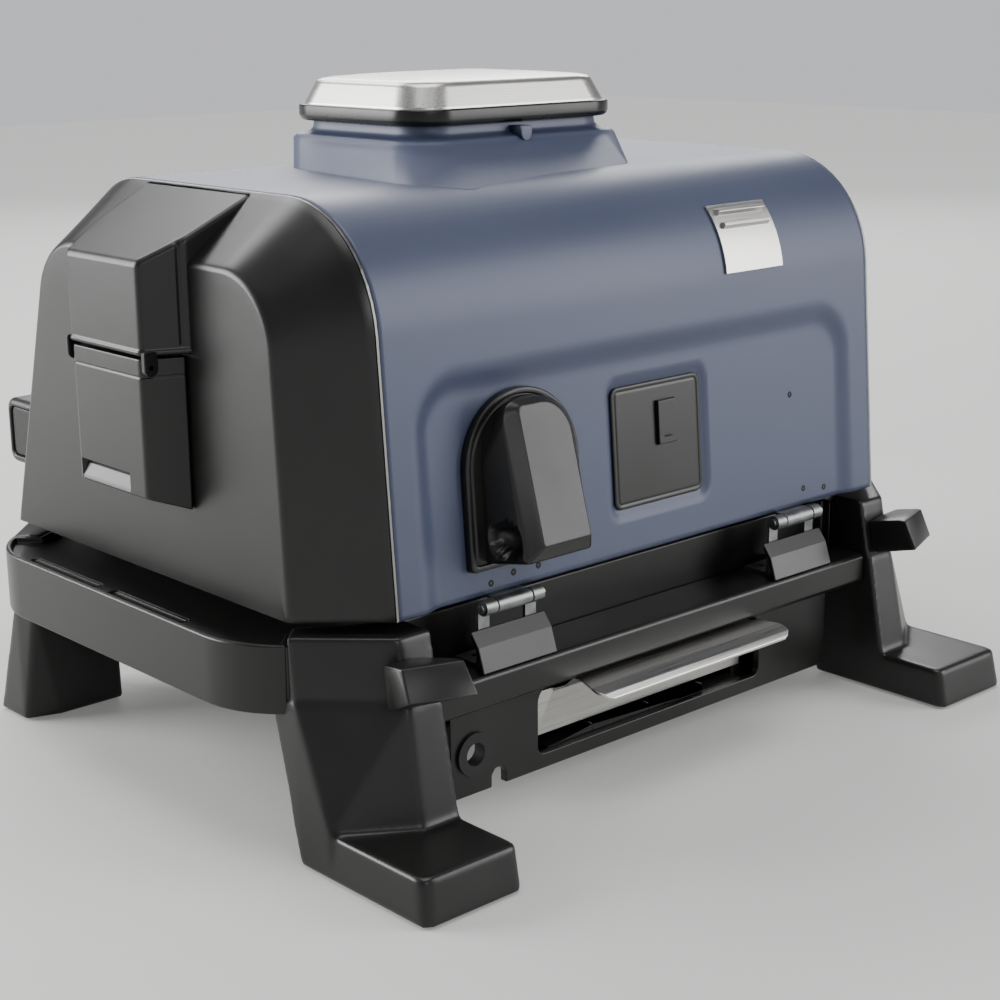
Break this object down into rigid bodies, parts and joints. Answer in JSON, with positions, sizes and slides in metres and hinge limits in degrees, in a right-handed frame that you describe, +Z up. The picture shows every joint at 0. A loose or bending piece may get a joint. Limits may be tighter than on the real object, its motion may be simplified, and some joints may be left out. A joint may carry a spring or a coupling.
{
  "type": "outdoor pellet oven",
  "caption": "Tabletop electric wood-pellet oven and smoker with a hinged lid, end smoke box, chimney cap, grease tray and splayed legs.",
  "frame": {"origin": "on the ground, under the middle of the whole object's box", "axes": "+X along the lid towards the smoke box, -Y to the front with handle and controls, +Z up"},
  "size_m": [0.6, 0.572, 0.4475],
  "materials": {
    "charcoal_abs": "moulded, fine spark texture",
    "gloss_black": "moulded, semi-gloss",
    "slate_blue_enamel": "satin powder coat",
    "brushed_stainless": "brushed along its length",
    "plated_steel": "zinc plated pressing",
    "aluminised_steel": "mill finish sheet",
    "nonstick_ceramic": "ceramic non-stick coat",
    "rubber": "moulded",
    "gasket_fibre": "woven glass fibre",
    "display_glass": "smoked",
    "circuit_laminate": "solder mask",
    "trim_grey": "satin",
    "heater_sheath": "oxidised"
  },
  "bodies": {
    "base": {"base_housing": "charcoal_abs", "gasket_seat": "charcoal_abs", "tub": "charcoal_abs", "rear_panel": "charcoal_abs", "rear_bar": "charcoal_abs", "leg_front_left": "charcoal_abs", "leg_front_right": "charcoal_abs", "leg_rear_left": "charcoal_abs", "leg_rear_right": "charcoal_abs", "foot_pads": "rubber", "cord_cleat_left": "charcoal_abs", "cord_cleat_right": "charcoal_abs", "hinge_cover_left": "charcoal_abs", "hinge_cover_right": "charcoal_abs", "hinge_brackets": "plated_steel", "hinge_pins": "plated_steel", "cable_grommet": "rubber", "cooking_pot": "nonstick_ceramic", "grill_grate": "nonstick_ceramic", "tray_rails": "charcoal_abs", "control_panel": "charcoal_abs", "display_lens": "display_glass", "circuit_board": "circuit_laminate", "dial_encoder": "gloss_black"},
    "dial": {"mode_dial": "charcoal_abs"},
    "power_key": {"power_button": "charcoal_abs"},
    "time_key": {"time_button": "charcoal_abs"},
    "heat_key": {"heat_button": "charcoal_abs"},
    "smoke_key": {"smoke_button": "charcoal_abs"},
    "tray": {"grease_tray": "brushed_stainless"},
    "lid": {"lid_shell": "slate_blue_enamel", "end_cap_left": "charcoal_abs", "end_cap_right": "charcoal_abs", "seam_trims": "trim_grey", "lid_liner": "aluminised_steel", "lid_gasket": "gasket_fibre", "hinge_leaves": "plated_steel", "handle_bar": "charcoal_abs", "handle_standoffs": "charcoal_abs", "handle_end_trims": "gloss_black", "chimney_collar": "slate_blue_enamel", "chimney_ring": "charcoal_abs", "chimney_cap": "brushed_stainless", "hood_plate": "charcoal_abs", "cable_hood": "charcoal_abs", "rear_vent_plate": "charcoal_abs", "louvre_plate": "brushed_stainless", "lid_screws": "plated_steel", "fan_motor": "aluminised_steel", "fan_guard": "aluminised_steel", "upper_heater": "heater_sheath", "smoke_box_hood": "charcoal_abs", "smoke_box_liner": "aluminised_steel", "pellet_basket": "aluminised_steel", "smoke_door_pin": "plated_steel"},
    "fan": {"convection_fan": "aluminised_steel"},
    "smoke_door": {"smoke_box_door": "charcoal_abs"}
  },
  "joints": [
    {"name": "lid_hinge", "type": "hinge", "parent": "base", "child": "lid", "pos_m": [0, 0.202, 0.141], "axis": [-1, 0, 0], "range_deg": [0, 80]},
    {"name": "smoke_door_hinge", "type": "hinge", "parent": "lid", "child": "smoke_door", "pos_m": [0.295, 0.018, 0.2875], "axis": [0, -1, 0], "range_deg": [0, 75]},
    {"name": "fan_spin", "type": "hinge", "parent": "lid", "child": "fan", "pos_m": [0, 0, 0.34], "axis": [0, 0, 1], "continuous": true},
    {"name": "tray_slide", "type": "slide", "parent": "base", "child": "tray", "axis": [0, 1, 0], "range_m": [0, 0.15]},
    {"name": "dial_turn", "type": "hinge", "parent": "base", "child": "dial", "pos_m": [0, -0.209, 0.109], "axis": [0, -0.8742, 0.4856], "range_deg": [-135, 135]},
    {"name": "power_press", "type": "slide", "parent": "base", "child": "power_key", "axis": [0, 0.8742, -0.4856], "range_m": [0, 0.0015], "stiffness_N_per_m": 400},
    {"name": "time_press", "type": "slide", "parent": "base", "child": "time_key", "axis": [0, 0.8742, -0.4856], "range_m": [0, 0.0015], "stiffness_N_per_m": 400},
    {"name": "heat_press", "type": "slide", "parent": "base", "child": "heat_key", "axis": [0, 0.8742, -0.4856], "range_m": [0, 0.0015], "stiffness_N_per_m": 400},
    {"name": "smoke_press", "type": "slide", "parent": "base", "child": "smoke_key", "axis": [0, 0.8742, -0.4856], "range_m": [0, 0.0015], "stiffness_N_per_m": 400}
  ]
}
